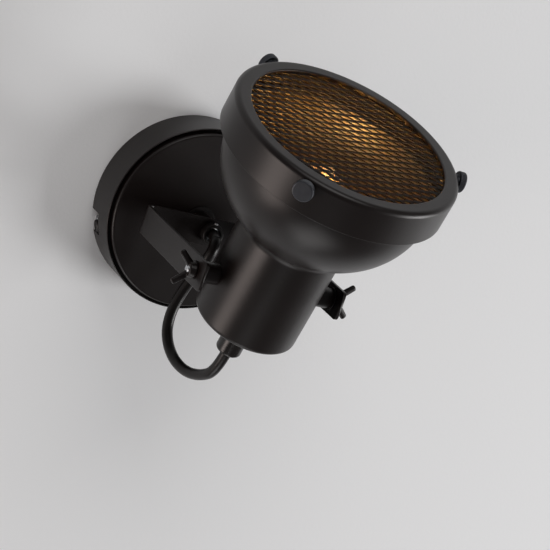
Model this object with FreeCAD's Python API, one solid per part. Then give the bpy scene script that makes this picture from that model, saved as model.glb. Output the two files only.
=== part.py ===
import FreeCAD, Part
import math
import os

from FreeCAD import Vector

# Pivoting spotlight wall light.
#
# A round canopy carries a flat-strip U bracket on a hollow stem, so that the bracket swivels about
# the wall normal. A spun bowl shade with a can-shaped neck tilts between the bracket's arms on two
# screws with wing nuts. A bezel held by three thumb screws clamps an expanded-metal grille over the
# bowl. A short cord loops from the bracket's centre to the end of the neck.
#
# Row frame: the wall is the plane y = 0 and the lamp stands out along -Y, +Z is up, and the origin
# is the canopy's centre on the wall. Sizes are in millimetres and angles in degrees.

os.makedirs("parts", exist_ok=True)

# ---------------------------------------------------------------- pose as photographed
swivel_angle = 21.0        # bracket turned clockwise about the wall normal, seen from the front
head_lean = 17.5           # shade axis leaned from the bracket's upright towards the room

# ---------------------------------------------------------------- canopy
canopy_radius = 60.0
canopy_sheet = 1.2
canopy_side_height = 27.2  # wall to the rolled edge of the side
canopy_edge_width = 1.4    # width of that rolled edge
groove_width = 2.6         # shadow groove between the side and the raised round face
face_height = 30.2         # wall to the face
face_edge_round = 1.6
groove_floor_height = 24.6
notch_height = 15.0        # along the rim, one notch on each side
notch_depth = 11.0         # from the wall
notch_round = 1.5

# ---------------------------------------------------------------- wall bracket in the canopy
strap_width = 24.0
strap_sheet = 1.8
strap_tab_width = 9.0
strap_tab_height = 10.4    # from the wall
strap_tab_offset = 2.6     # tabs sit off the strap's middle line, turned alike about the centre
strap_tab_recess = 2.0     # from the canopy's outside to the tab's face
strap_bend = 1.6
wall_slot_spacing = 60.0
wall_slot_width = 5.0
wall_slot_length = 12.0
cable_hole_radius = 7.0
side_screw_radius = 1.95
side_screw_head_radius = 3.9
side_screw_head = 1.9
side_screw_length = 8.0
side_screw_height = 5.6    # from the wall
driver_slot = 1.0          # width of the slots for a screwdriver
strap_tab_relief = 2.5     # the cuts beside a tab run this far into the strap

# ---------------------------------------------------------------- mains terminal and earth
terminal_length = 24.0
terminal_depth = 13.0
terminal_height = 11.0
terminal_way_radius = 3.2
terminal_pin_radius = 2.0
terminal_offset = 14.0     # below the strap's middle line
terminal_round = 1.5
earth_place = (17.5, 0.0)
earth_radius = 1.95
earth_head_radius = 3.6
earth_head = 2.2
earth_recess = 0.2         # wall to the screw's end

# ---------------------------------------------------------------- swivel stem
stem_radius = 5.0
stem_bore = 3.0
stem_start = 19.0          # from the wall
stem_top = 51.5
running_clearance = 0.1
stem_tube_radius = 7.0
friction_washer_radius = 10.0
friction_washer = 0.7
spring_washer_radius = 8.5
spring_washer = 0.7
stem_nut_flats = 15.0
stem_nut = 3.6
small_gap = 0.15           # between flat faces of pieces that turn on each other

# ---------------------------------------------------------------- U bracket
bracket_sheet = 2.0
bracket_width = 18.0
bracket_outer_half = 47.5  # middle to the arms' outer faces
bracket_back = 48.0        # wall to the back of the strip
bracket_tip = 150.0        # wall to the arms' ends
bracket_bend = 5.0
tip_round = 2.6
pivot_distance = 136.7     # wall to the tilt axis

# ---------------------------------------------------------------- base gland
base_gland_radius = 6.9
base_gland_height = 5.0
base_gland_mouth = 4.5
base_gland_round = 1.2
grip_screw_radius = 1.3
grip_screw_length = 3.4
grip_screw_reach = 0.6     # how far its point stands in the mouth
grip_screw_slot = 0.6

# ---------------------------------------------------------------- shade, along its axis from the tilt axis
shade_sheet = 1.0
neck_radius = 32.6
neck_bottom = -28.0
neck_edge_round = 3.0
neck_blend = 7.0
bowl_radius = 64.6
bowl_depth = 57.1
bowl_top = 88.0
rim_step_start = 91.0
rim_step_end = 94.0
rim_step = 4.8             # the rim stands this much wider than the bowl
rim_top = 109.2

# ---------------------------------------------------------------- bezel, grille and ring
bezel_clearance = 0.4      # round the rim
bezel_sheet = 1.2
bezel_rear = 89.9
bezel_front = 112.2
bezel_edge_round = 3.2
bezel_face = 9.7           # width of its flat front with the edges
bezel_lip = 2.0
grille_sheet = 0.8
grille_margin = 1.3        # whole openings are cut this far under the bezel
grille_long_pitch = 11.7
grille_short_pitch = 5.9
grille_strand = 1.6        # across the short way
grille_turn = -15.0        # long way turned from the tilt axis
grille_inset = 0.3         # sheet's edge inside the rim's
seat_ring_width = 4.5

# ---------------------------------------------------------------- thumb screws of the bezel
thumb_angles = {"left": -128.0, "right": -8.0, "rear": 112.0}
thumb_height = 105.6       # along the shade's axis
thumb_head_radius = 6.7
thumb_head = 4.6
thumb_head_round = 0.9
thumb_collar_radius = 4.0
thumb_collar = 2.8
thumb_shank_radius = 1.9
thumb_length = 10.0
thumb_hole_radius = 2.0
rim_nut_radius = 3.4
rim_nut = 3.2

# ---------------------------------------------------------------- tilt pivots
pivot_radius = 2.5
pivot_head_radius = 4.5
pivot_head = 3.4
pivot_end = 52.6           # middle to the screw's end
pivot_end_round = 0.6
spacer_radius = 6.4
pivot_washer_radius = 7.2
pivot_washer = 0.8
nut_hub_radius = 5.6
nut_hub_top_radius = 4.7
nut_hub = 4.4
nut_wing_sheet = 2.6
nut_wing_reach = 13.0
nut_wing_rise = 10.6
nut_wing_end_radius = 2.7
nut_wing_seat = 0.9        # hub's foot to the wings

# ---------------------------------------------------------------- neck gland and lamp holder
gland_radius = 8.0
gland_flange_radius = 10.0
gland_flange = 3.0
gland_length = 24.0
gland_round = 1.8
inner_stem_end = -15.0
inner_nut_flats = 15.0
inner_nut = 3.4
holder_radius = 19.5
holder_bottom = -22.0
holder_mouth = 33.0
holder_wall = 3.2
holder_floor = 4.0
holder_skirt_round = 2.0
holder_lip = 2.0           # screw shell's top below the mouth
shell_sheet = 0.5
shell_radius = 14.3
shell_foot = 6.0
contact_radius = 4.0
contact_height = 5.4
contact_space = 3.0        # contact to the screw shell's foot

# ---------------------------------------------------------------- lamp, globe 45 mm with screw cap
cap_radius = 13.2
cap_foot = 11.0
cap_height = 23.0
tip_radius = 5.0
tip_height = 1.2
globe_radius = 22.5
globe_top = 88.0
glass_sheet = 0.8
glass_neck_radius = 12.4
filament_radius = 0.9
filament_length = 24.0
filament_spread = 5.0      # how far the filaments' tops lean out
lamp_stem_radius = 3.0
lamp_stem_height = 12.0
filament_seat = 1.5        # filaments' feet below the stem's top

# ---------------------------------------------------------------- cord
cord_radius = 3.45
cord_last_run = 17.0       # straight out of the neck gland

# ---------------------------------------------------------------- worked-out places
face_radius = canopy_radius - groove_width
rim_radius = bowl_radius + rim_step
bezel_radius = rim_radius + bezel_clearance + bezel_sheet
bezel_opening = bezel_radius - bezel_face
grille_edge = bezel_opening + grille_margin
pivot_place = Vector(0, -pivot_distance, 0)
arm_inner = bracket_outer_half - bracket_sheet
strip_front = bracket_back + bracket_sheet
gland_end = neck_bottom - gland_length
inner_clearance = 0.05


# ================================================================ helpers
def on_wall(shape):
    """From x right, y up, z out of the wall to the row frame."""
    out = shape.copy()
    out.rotate(Vector(0, 0, 0), Vector(1, 0, 0), 90)
    return out


def on_bracket(shape):
    """As on_wall, then turned with the bracket."""
    out = on_wall(shape)
    out.rotate(Vector(0, 0, 0), Vector(0, 1, 0), swivel_angle)
    return out


def on_shade(shape):
    """From the shade's own frame, tilt axis along x and shade axis along z, to the row frame."""
    out = shape.copy()
    out.rotate(Vector(0, 0, 0), Vector(1, 0, 0), head_lean)
    out.translate(pivot_place)
    out.rotate(Vector(0, 0, 0), Vector(0, 1, 0), swivel_angle)
    return out


def line(a, b):
    return Part.LineSegment(Vector(a[0], 0, a[1]), Vector(b[0], 0, b[1])).toShape()


def arc(a, through, b):
    points = [Vector(p[0], 0, p[1]) for p in (a, through, b)]
    return Part.Arc(*points).toShape()


def corner(centre, radius, start, end):
    """A round corner: an arc about centre between two directions in degrees."""
    place = []
    for angle in (start, 0.5 * (start + end), end):
        a = math.radians(angle)
        place.append((centre[0] + radius * math.cos(a), centre[1] + radius * math.sin(a)))
    return arc(*place)


def turned(edges):
    """A solid of revolution about z from a closed chain of edges in the xz plane."""
    face = Part.Face(Part.Wire(Part.__sortEdges__(edges)))
    return face.revolve(Vector(0, 0, 0), Vector(0, 0, 1), 360)


def rod(radius, low, high, x=0.0, y=0.0):
    return Part.makeCylinder(radius, high - low, Vector(x, y, low))


def tube(radius, bore, low, high):
    return rod(radius, low, high).cut(rod(bore, low, high))


def cross_rod(radius, low, high, y=0.0, z=0.0):
    """A cylinder along x from low to high."""
    return Part.makeCylinder(radius, high - low, Vector(low, y, z), Vector(1, 0, 0))


def block(x0, x1, y0, y1, z0, z1):
    return Part.makeBox(x1 - x0, y1 - y0, z1 - z0, Vector(x0, y0, z0))


def hexagon(flats, low, high, bore):
    radius = flats / math.sqrt(3)
    points = [Vector(radius * math.cos(a), radius * math.sin(a), low)
              for a in (math.radians(60 * k) for k in range(7))]
    body = Part.Face(Part.makePolygon(points)).extrude(Vector(0, 0, high - low))
    return body.cut(rod(bore, low, high))


def edges_where(shape, test):
    return [edge for edge in shape.Edges if test(edge)]


def circle_edges(shape, radius, height):
    """The round edges about z with this radius at this height."""
    def test(edge):
        curve = edge.Curve
        return (isinstance(curve, Part.Circle) and abs(curve.Radius - radius) < 1e-4
                and abs(curve.Center.z - height) < 1e-4)
    return edges_where(shape, test)


def save(name, shape):
    solids = shape.Solids
    print(f"{name}: {len(solids)} solid(s), volume {sum(s.Volume for s in solids):.1f}, "
          f"valid {shape.isValid()}")
    shape = solids[0] if len(solids) == 1 else Part.makeCompound(solids)
    shape.exportStep(f"parts/{name}.step")


# ================================================================ canopy and what is inside it
def canopy_cup():
    inside = canopy_radius - canopy_sheet
    edge_inside = canopy_radius - canopy_edge_width
    half = canopy_edge_width / 2
    ridge = canopy_side_height - half
    flat = face_radius - face_edge_round
    top = face_height - face_edge_round
    under = face_radius - canopy_sheet
    under_top = face_height - canopy_sheet
    hole = stem_radius + running_clearance
    floor = groove_floor_height
    body = turned([
        line((hole, face_height), (flat, face_height)),
        corner((flat, top), face_edge_round, 90, 0),
        line((face_radius, top), (face_radius, floor)),
        line((face_radius, floor), (edge_inside, floor)),
        line((edge_inside, floor), (edge_inside, ridge)),
        corner((edge_inside + half, ridge), half, 180, 0),
        line((canopy_radius, ridge), (canopy_radius, 0)),
        line((canopy_radius, 0), (inside, 0)),
        line((inside, 0), (inside, floor - canopy_sheet)),
        line((inside, floor - canopy_sheet), (under, floor - canopy_sheet)),
        line((under, floor - canopy_sheet), (under, under_top)),
        line((under, under_top), (hole, under_top)),
        line((hole, under_top), (hole, face_height)),
    ])
    notch = block(-canopy_radius - 1, canopy_radius + 1, -notch_height / 2, notch_height / 2,
                  -notch_round - 1, notch_depth)
    across = edges_where(notch, lambda e: abs(e.BoundBox.ZMin - notch_depth) < 1e-6
                         and e.BoundBox.XLength > 1)
    notch = notch.makeFillet(notch_round, across)
    core = rod(face_radius - 2 * canopy_sheet, -notch_round - 2, notch_depth + 1)
    return body.cut(notch.cut(core))


def strap_turned_pair(shape):
    """A piece and its copy turned half round about the wall normal."""
    other = shape.copy()
    other.rotate(Vector(0, 0, 0), Vector(0, 0, 1), 180)
    return shape, other


def tab_face():
    return canopy_radius - strap_tab_recess


def wall_bracket():
    face = tab_face()
    bend = strap_bend
    inner = face - strap_sheet
    path = [
        line((-face + bend, 0), (face - bend, 0)),
        corner((face - bend, bend), bend, -90, 0),
        line((face, bend), (face, strap_tab_height)),
        line((face, strap_tab_height), (inner, strap_tab_height)),
        line((inner, strap_tab_height), (inner, strap_sheet)),
        line((inner, strap_sheet), (-inner, strap_sheet)),
        line((-inner, strap_sheet), (-inner, strap_tab_height)),
        line((-inner, strap_tab_height), (-face, strap_tab_height)),
        line((-face, strap_tab_height), (-face, bend)),
        corner((-face + bend, bend), bend, 180, 270),
    ]
    profile = Part.Face(Part.Wire(Part.__sortEdges__(path)))
    profile.translate(Vector(0, -strap_width / 2, 0))
    body = profile.extrude(Vector(0, strap_width, 0))
    end = inner - strap_tab_relief
    low = -strap_tab_offset - strap_tab_width / 2
    high = low + strap_tab_width
    for side, (y0, y1) in ((1, (-high, -low)), (-1, (low, high))):
        x0, x1 = sorted((side * end, side * (face + 1)))
        for a, b in ((-strap_width, y0), (y1, strap_width)):
            body = body.cut(block(x0, x1, a, b, -1, strap_tab_height + 1))
    half = wall_slot_spacing / 2
    radius = wall_slot_width / 2
    reach = (wall_slot_length - wall_slot_width) / 2
    for x in (-half, half):
        slot = block(x - reach, x + reach, -radius, radius, -1, strap_sheet + 1)
        slot = slot.fuse([rod(radius, -1, strap_sheet + 1, x + s * reach) for s in (-1, 1)])
        body = body.cut(slot)
    body = body.cut(rod(cable_hole_radius, -1, strap_sheet + 1))
    body = body.cut(rod(earth_radius, -1, strap_sheet + 1, *earth_place))
    for hole in strap_turned_pair(cross_rod(side_screw_radius, inner - 1, face + 1,
                                            strap_tab_offset, side_screw_height)):
        body = body.cut(hole)
    return body


def side_screws():
    face = tab_face()
    screw = cross_rod(side_screw_radius, face - side_screw_length, face,
                      strap_tab_offset, side_screw_height)
    head = cross_rod(side_screw_head_radius, face, face + side_screw_head,
                     strap_tab_offset, side_screw_height)
    rim = edges_where(head, lambda e: e.BoundBox.XMin > face + side_screw_head - 1e-4)
    head = head.makeFillet(0.5 * side_screw_head, rim)
    slot = block(face + 0.55 * side_screw_head, face + 2 * side_screw_head,
                 strap_tab_offset - side_screw_head_radius, strap_tab_offset + side_screw_head_radius,
                 side_screw_height - driver_slot / 2, side_screw_height + driver_slot / 2)
    return Part.makeCompound(list(strap_turned_pair(screw.fuse(head).cut(slot).removeSplitter())))


def terminal_block():
    y = -terminal_offset
    low = strap_sheet
    body = block(-terminal_length / 2, terminal_length / 2, y - terminal_depth / 2,
                 y + terminal_depth / 2, low, low + terminal_height)
    upright = edges_where(body, lambda e: e.BoundBox.ZLength > terminal_height - 1e-3)
    body = body.makeFillet(terminal_round, upright)
    pitch = terminal_length / 3
    for k in (-1, 0, 1):
        way = Part.makeCylinder(terminal_way_radius, terminal_depth + 2,
                                Vector(k * pitch, y - terminal_depth / 2 - 1, low + terminal_way_radius + 1),
                                Vector(0, 1, 0))
        body = body.cut(way)
        body = body.cut(rod(terminal_pin_radius, low + terminal_height / 2, low + terminal_height + 1,
                            k * pitch, y))
    return body


def earth_screw():
    x, y = earth_place
    head_low = strap_sheet
    body = rod(earth_radius, earth_recess, head_low + earth_head / 2, x, y)
    head = rod(earth_head_radius, head_low, head_low + earth_head, x, y)
    head = head.makeFillet(0.45 * earth_head, circle_edges(head, earth_head_radius, head_low + earth_head))
    slot = block(x - earth_head_radius, x + earth_head_radius, y - driver_slot / 2, y + driver_slot / 2,
                 head_low + earth_head / 2, head_low + earth_head + 1)
    return body.fuse(head).cut(slot).removeSplitter()


# ================================================================ swivel stem and bracket
def friction_washer_ring():
    return tube(friction_washer_radius, stem_radius + running_clearance,
                face_height, face_height + friction_washer)


def swivel_stem():
    return tube(stem_radius, stem_bore, stem_start, stem_top)


def stem_tube():
    low = face_height + friction_washer + small_gap
    return tube(stem_tube_radius, stem_radius + inner_clearance, low, bracket_back)


def spring_washer_ring():
    top = face_height - canopy_sheet - small_gap
    return tube(spring_washer_radius, stem_radius + inner_clearance, top - spring_washer, top)


def stem_lock_nut():
    top = face_height - canopy_sheet - small_gap - spring_washer
    return hexagon(stem_nut_flats, top - stem_nut, top, stem_radius + inner_clearance)


def u_bracket():
    outer = bracket_outer_half
    back = bracket_back
    tip = bracket_tip
    bend = bracket_bend
    inside = bend - bracket_sheet
    path = [
        line((-outer, tip), (-outer, back + bend)),
        corner((-outer + bend, back + bend), bend, 180, 270),
        line((-outer + bend, back), (outer - bend, back)),
        corner((outer - bend, back + bend), bend, -90, 0),
        line((outer, back + bend), (outer, tip)),
        line((outer, tip), (arm_inner, tip)),
        line((arm_inner, tip), (arm_inner, back + bend)),
        corner((outer - bend, back + bend), inside, 0, -90),
        line((outer - bend, strip_front), (-outer + bend, strip_front)),
        corner((-outer + bend, back + bend), inside, 270, 180),
        line((-arm_inner, back + bend), (-arm_inner, tip)),
        line((-arm_inner, tip), (-outer, tip)),
    ]
    profile = Part.Face(Part.Wire(Part.__sortEdges__(path)))
    profile.translate(Vector(0, -bracket_width / 2, 0))
    body = profile.extrude(Vector(0, bracket_width, 0))
    corners = edges_where(body, lambda e: e.BoundBox.ZMin > tip - 1e-4 and e.BoundBox.XLength > 0.5
                          and e.BoundBox.YLength < 1e-4)
    body = body.makeFillet(tip_round, corners)
    body = body.cut(rod(stem_radius + inner_clearance, back - 1, strip_front + 1))
    return body.cut(cross_rod(pivot_radius + running_clearance, -outer - 1, outer + 1, 0, pivot_distance))


def base_gland():
    low = strip_front
    high = low + base_gland_height
    body = tube(base_gland_radius, base_gland_mouth, low, high)
    body = body.cut(rod(stem_radius + inner_clearance, low - 1, stem_top + inner_clearance))
    body = body.makeFillet(base_gland_round, circle_edges(body, base_gland_radius, high))
    place = Vector(0, 0, (stem_top + high) / 2)
    hole = Part.makeCylinder(grip_screw_radius, base_gland_radius + 1, place, Vector(0, 1, 0))
    return body.cut(hole)


def grip_screw():
    place = Vector(0, base_gland_mouth - grip_screw_reach, (stem_top + strip_front + base_gland_height) / 2)
    body = Part.makeCylinder(grip_screw_radius, grip_screw_length, place, Vector(0, 1, 0))
    end = place.y + grip_screw_length
    slot = block(-grip_screw_radius, grip_screw_radius, end - grip_screw_slot, end + 1,
                 place.z - grip_screw_slot / 2, place.z + grip_screw_slot / 2)
    return body.cut(slot)


# ================================================================ shade
def shade_form(inset, blend, edge_round, top):
    """The spun form of the shade, drawn in by inset on every side."""
    neck = neck_radius - inset
    bottom = neck_bottom + inset
    wide = bowl_radius - inset
    deep = bowl_depth - inset
    start = -math.acos(neck / wide)
    join = bowl_top + deep * math.sin(start)
    ellipse = Part.Ellipse(Vector(wide, 0, bowl_top), Vector(0, 0, bowl_top + deep), Vector(0, 0, bowl_top))
    rim = rim_radius - inset
    body = turned([
        line((0, bottom), (neck, bottom)),
        line((neck, bottom), (neck, join)),
        Part.ArcOfEllipse(ellipse, start, 0).toShape(),
        line((wide, bowl_top), (wide, rim_step_start)),
        line((wide, rim_step_start), (rim, rim_step_end)),
        line((rim, rim_step_end), (rim, top)),
        line((rim, top), (0, top)),
        line((0, top), (0, bottom)),
    ])
    body = body.makeFillet(blend, circle_edges(body, neck, join))
    return body.makeFillet(edge_round, circle_edges(body, neck, bottom))


def thumb_frame(shape, angle):
    """From a screw standing along z at the shade's axis to its place on the rim."""
    out = shape.copy()
    out.rotate(Vector(0, 0, 0), Vector(0, 1, 0), 90)
    out.translate(Vector(0, 0, thumb_height))
    out.rotate(Vector(0, 0, 0), Vector(0, 0, 1), angle)
    return out


def pivot_hole(radius):
    return cross_rod(radius, -neck_radius - 1, neck_radius + 1)


def thumb_holes(low, high):
    return [thumb_frame(rod(thumb_hole_radius, low, high), angle) for angle in thumb_angles.values()]


def shade():
    outside = shade_form(0.0, neck_blend, neck_edge_round, rim_top)
    inside = shade_form(shade_sheet, neck_blend + shade_sheet, neck_edge_round - shade_sheet,
                        rim_top + shade_sheet)
    body = outside.cut(inside)
    body = body.cut(rod(stem_radius + inner_clearance, neck_bottom - shade_sheet,
                        neck_bottom + 2 * shade_sheet))
    body = body.cut(pivot_hole(pivot_radius + inner_clearance))
    return body.cut(thumb_holes(bowl_radius, bezel_radius))


def bezel_ring():
    outer = bezel_radius
    inner = outer - bezel_sheet
    front = bezel_front
    back = front - bezel_sheet
    bend = bezel_edge_round
    inside = bend - bezel_sheet
    lip = bezel_opening + bezel_sheet
    half = bezel_sheet / 2
    body = turned([
        line((inner, bezel_rear), (outer, bezel_rear)),
        line((outer, bezel_rear), (outer, front - bend)),
        corner((outer - bend, front - bend), bend, 0, 90),
        line((outer - bend, front), (lip, front)),
        corner((lip, front - bezel_sheet), bezel_sheet, 90, 180),
        line((bezel_opening, front - bezel_sheet), (bezel_opening, front - bezel_lip)),
        line((bezel_opening, front - bezel_lip), (lip, front - bezel_lip)),
        line((lip, front - bezel_lip), (lip, back)),
        line((lip, back), (outer - bend, back)),
        corner((outer - bend, front - bend), inside, 90, 0),
        line((inner, front - bend), (inner, bezel_rear)),
    ])
    return body.cut(thumb_holes(inner - half, outer + half))


def diamond(x, y, z):
    half_long = (grille_long_pitch - grille_strand * grille_long_pitch / grille_short_pitch) / 2
    half_short = (grille_short_pitch - grille_strand) / 2
    points = [(half_long, 0), (0, half_short), (-half_long, 0), (0, -half_short)]
    places = [Vector(x + a, y + b, z) for a, b in points]
    return Part.makePolygon(places + places[:1]), half_long


def mesh_grille():
    low = rim_top
    rim = Part.Wire(Part.makeCircle(rim_radius - grille_inset, Vector(0, 0, low)))
    holes = []
    rows = int(2 * grille_edge / grille_short_pitch) + 2
    columns = int(grille_edge / grille_long_pitch) + 2
    for row in range(-rows, rows + 1):
        y = row * grille_short_pitch / 2
        shift = 0.5 * grille_long_pitch * (row % 2)
        for column in range(-columns, columns + 1):
            x = column * grille_long_pitch + shift
            wire, reach = diamond(x, y, low)
            if math.hypot(abs(x) + reach, y) < grille_edge:
                holes.append(wire)
    print(f"grille openings: {len(holes)}")
    face = Part.makeFace([rim] + holes, "Part::FaceMakerBullseye")
    body = face.extrude(Vector(0, 0, grille_sheet))
    body.rotate(Vector(0, 0, 0), Vector(0, 0, 1), grille_turn)
    return body


def seat_ring():
    low = rim_top + grille_sheet
    high = bezel_front - bezel_sheet
    outer = bezel_radius - bezel_edge_round
    return tube(outer, outer - seat_ring_width, low, high)


def thumb_screw():
    foot = bezel_radius + small_gap
    under = foot + thumb_collar
    top = under + thumb_head
    head = rod(thumb_head_radius, under, top)
    head = head.makeFillet(thumb_head_round, circle_edges(head, thumb_head_radius, top))
    body = rod(thumb_collar_radius, foot, under).fuse(head)
    body = body.fuse(rod(thumb_shank_radius, foot - thumb_length, foot))
    return body.removeSplitter()


def rim_nuts():
    high = rim_radius - shade_sheet
    flat = math.sqrt(high * high - rim_nut_radius * rim_nut_radius)
    nut = tube(rim_nut_radius, thumb_hole_radius, flat - rim_nut, flat)
    return Part.makeCompound([thumb_frame(nut, angle) for angle in thumb_angles.values()])


# ================================================================ tilt pivots, right side along +x
def pivot_screw():
    inside = neck_radius - shade_sheet
    seat = math.sqrt(inside * inside - pivot_head_radius * pivot_head_radius)
    head = cross_rod(pivot_head_radius, seat - pivot_head, seat)
    body = head.fuse(cross_rod(pivot_radius, seat, pivot_end))
    end = edges_where(body, lambda e: e.BoundBox.XMin > pivot_end - 1e-4)
    return body.makeFillet(pivot_end_round, end).removeSplitter()


def pivot_spacer():
    end = arm_inner - small_gap - pivot_washer
    start = math.sqrt(neck_radius ** 2 - spacer_radius ** 2) - shade_sheet
    body = cross_rod(spacer_radius, start, end)
    body = body.cut(rod(neck_radius + inner_clearance, -2 * spacer_radius, 2 * spacer_radius))
    return body.cut(cross_rod(pivot_radius + inner_clearance, 0, end + 1))


def pivot_washer_ring():
    end = arm_inner - small_gap
    body = cross_rod(pivot_washer_radius, end - pivot_washer, end)
    return body.cut(cross_rod(pivot_radius + inner_clearance, 0, end + 1))


def wing():
    """One wing in the xz plane, rising along x from the hub and reaching up z."""
    seat = nut_wing_seat
    root = 0.5 * nut_hub_top_radius
    end = nut_wing_end_radius
    tip_x = nut_wing_rise - end
    tip_z = nut_wing_reach - end
    lean = math.atan2(tip_z - root, tip_x - seat - end)
    across = Vector(math.sin(lean), 0, -math.cos(lean))
    tip = Vector(tip_x, 0, tip_z)
    low = Vector(1.4 * seat, 0, root)
    high = Vector(nut_hub, 0, root)
    outer_side = tip + across * end
    inner_side = tip - across * end
    crown = tip + Vector(math.cos(lean), 0, math.sin(lean)) * end
    edges = [
        Part.LineSegment(low, inner_side).toShape(),
        Part.Arc(inner_side, crown, outer_side).toShape(),
        Part.LineSegment(outer_side, high).toShape(),
        Part.LineSegment(high, low).toShape(),
    ]
    face = Part.Face(Part.Wire(edges))
    face.translate(Vector(0, -nut_wing_sheet / 2, 0))
    return face.extrude(Vector(0, nut_wing_sheet, 0))


def wing_nut():
    low = bracket_outer_half + small_gap
    hub = Part.makeCone(nut_hub_radius, nut_hub_top_radius, nut_hub, Vector(0, 0, 0), Vector(1, 0, 0))
    upper = wing()
    lower = wing()
    lower.rotate(Vector(0, 0, 0), Vector(1, 0, 0), 180)
    body = hub.fuse([upper, lower]).removeSplitter()
    body = body.cut(cross_rod(pivot_radius + running_clearance, -1, nut_wing_rise + 1))
    body.translate(Vector(low, 0, 0))
    return body


def at_pivot(shape):
    """From the tilt axis along x and the bracket's upright along z to the row frame."""
    out = shape.copy()
    out.translate(pivot_place)
    out.rotate(Vector(0, 0, 0), Vector(0, 1, 0), swivel_angle)
    return out


def other_side(shape):
    out = shape.copy()
    out.rotate(Vector(0, 0, 0), Vector(0, 0, 1), 180)
    return out


# ================================================================ neck gland, lamp holder and lamp
def neck_gland():
    flange = neck_bottom - gland_flange
    body = rod(gland_flange_radius, flange, neck_bottom)
    barrel = rod(gland_radius, gland_end, neck_bottom)
    barrel = barrel.makeFillet(gland_round, circle_edges(barrel, gland_radius, gland_end))
    body = body.fuse(barrel).removeSplitter()
    return body.cut(rod(stem_radius + inner_clearance, flange - 3, neck_bottom + 1))


def inner_stem():
    return tube(stem_radius, stem_bore, neck_bottom - gland_flange - 2, inner_stem_end)


def inner_lock_nut():
    low = neck_bottom + shade_sheet
    return hexagon(inner_nut_flats, low, low + inner_nut, stem_radius + inner_clearance)


def lamp_holder():
    bore = holder_radius - holder_wall
    body = rod(holder_radius, holder_bottom, holder_mouth)
    body = body.makeFillet(holder_skirt_round, circle_edges(body, holder_radius, holder_bottom))
    body = body.cut(rod(bore, holder_floor, holder_mouth + 1))
    return body.cut(rod(stem_radius + inner_clearance, holder_bottom - 1, inner_stem_end + 0.5))


def holder_screw_shell():
    top = holder_mouth - holder_lip
    body = tube(shell_radius, shell_radius - shell_sheet, shell_foot, top)
    flange = tube(holder_radius - holder_wall - inner_clearance, shell_radius - shell_sheet,
                  top - shell_sheet, top)
    foot = tube(shell_radius, contact_radius + contact_space, holder_floor, shell_foot)
    return body.fuse([flange, foot]).removeSplitter()


def holder_contact():
    top = holder_floor + contact_height
    body = rod(contact_radius, holder_floor, top)
    return body.makeFillet(0.4 * contact_radius, circle_edges(body, contact_radius, top))


def lamp_cap():
    low = cap_foot
    body = turned([
        line((0, low - tip_height), (tip_radius - 1, low - tip_height)),
        line((tip_radius - 1, low - tip_height), (tip_radius, low)),
        line((tip_radius, low), (cap_radius - 3, low + 2)),
        line((cap_radius - 3, low + 2), (cap_radius, low + 4)),
        line((cap_radius, low + 4), (cap_radius, low + cap_height)),
        line((cap_radius, low + cap_height), (0, low + cap_height)),
        line((0, low + cap_height), (0, low - tip_height)),
    ])
    return body


def globe_form(inset):
    radius = globe_radius - inset
    neck = glass_neck_radius - inset
    centre = globe_top - globe_radius
    foot = cap_foot + cap_height
    angle = math.asin(neck / radius)
    join = centre - radius * math.cos(angle)
    side = (radius, centre)
    return [
        line((neck, foot), (neck, join)),
        arc((neck, join), side, (0, centre + radius)),
    ]


def lamp_glass():
    foot = cap_foot + cap_height
    top = globe_top
    outer = globe_form(0.0)
    inner = globe_form(glass_sheet)
    return turned(outer + inner + [
        line((glass_neck_radius - glass_sheet, foot), (glass_neck_radius, foot)),
        line((0, top - glass_sheet), (0, top)),
    ])


def lamp_filament():
    foot = cap_foot + cap_height
    stem = rod(lamp_stem_radius, foot, foot + lamp_stem_height)
    low = foot + lamp_stem_height - filament_seat
    sticks = []
    for k in range(4):
        angle = math.radians(90 * k + 45)
        out = Vector(math.cos(angle), math.sin(angle), 0)
        place = out * (0.4 * lamp_stem_radius) + Vector(0, 0, low)
        away = out * filament_spread + Vector(0, 0, filament_length)
        sticks.append(Part.makeCylinder(filament_radius, filament_length, place, away))
    return stem.fuse(sticks).removeSplitter()


# ================================================================ cord
def bracket_place(x, y, z):
    """A point of the bracket's frame, y out of the wall being negative, in the row frame."""
    point = Vector(x, y, z)
    turn = FreeCAD.Rotation(Vector(0, 1, 0), swivel_angle)
    return turn.multVec(point)


def cord_points():
    lean = math.radians(head_lean)
    down = Vector(0, math.sin(lean), -math.cos(lean))
    end = pivot_place + down * -gland_end
    last = end + down * cord_last_run
    chosen = [
        (0.0, -stem_top, 0.0), (0.0, -58.0, 0.0), (-1.2, -63.2, -5.0), (-2.5, -62.5, -13.0),
        (-4.5, -58.5, -24.0), (-8.0, -56.0, -38.0), (-11.0, -55.8, -53.0), (-11.0, -59.5, -67.0),
        (-8.0, -71.0, -77.0), (-4.5, -87.0, -79.5), (-1.5, -102.5, -75.0),
        (last.x, last.y, last.z), (end.x, end.y, end.z),
    ]
    return [bracket_place(*p) for p in chosen]


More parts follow.
